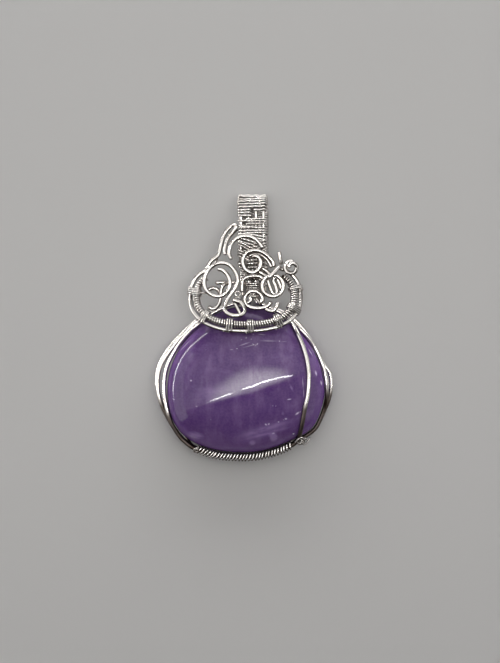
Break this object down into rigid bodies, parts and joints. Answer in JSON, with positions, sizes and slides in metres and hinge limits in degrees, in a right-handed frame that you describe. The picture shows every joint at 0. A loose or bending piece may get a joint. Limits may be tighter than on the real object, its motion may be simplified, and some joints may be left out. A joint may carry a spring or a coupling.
{
  "type": "fluorite pendant",
  "caption": "Wire-wrapped pendant: a domed polished purple stone in a silver wire frame with an oval of scrolls at its top and a woven band bail to hang it by.",
  "frame": {"origin": "centre of the underside of the whole pendant, on the surface that it lies on", "axes": "+X across the pendant, +Y up its length towards the bail, +Z out of the stone's face"},
  "size_m": [0.0358, 0.0536, 0.0121],
  "materials": {
    "stone": "polished, translucent purple with pale veils",
    "silver": "polished silver wire, dark in its recesses"
  },
  "bodies": {
    "root": {"stone": "stone", "frame_wire_front": "silver", "frame_wire_middle": "silver", "frame_wire_back": "silver", "frame_wire_rear": "silver", "bottom_wrap": "silver", "neck_wrap": "silver", "ring_outer_wire": "silver", "ring_coil": "silver", "binding_left": "silver", "binding_lower_left": "silver", "binding_bottom_left": "silver", "binding_bottom": "silver", "binding_lower_right": "silver", "binding_right_lower": "silver", "binding_right": "silver", "scroll_left": "silver", "scroll_upper": "silver", "scroll_centre": "silver", "scroll_basket": "silver", "basket_fold": "silver", "scroll_right": "silver", "arch_top": "silver", "arch_inner": "silver", "neck_hoop": "silver", "under_wire": "silver", "corner_wire": "silver", "cross_wire": "silver", "tuck_wire": "silver", "upright_end": "silver", "bail": "silver"}
  },
  "joints": []
}
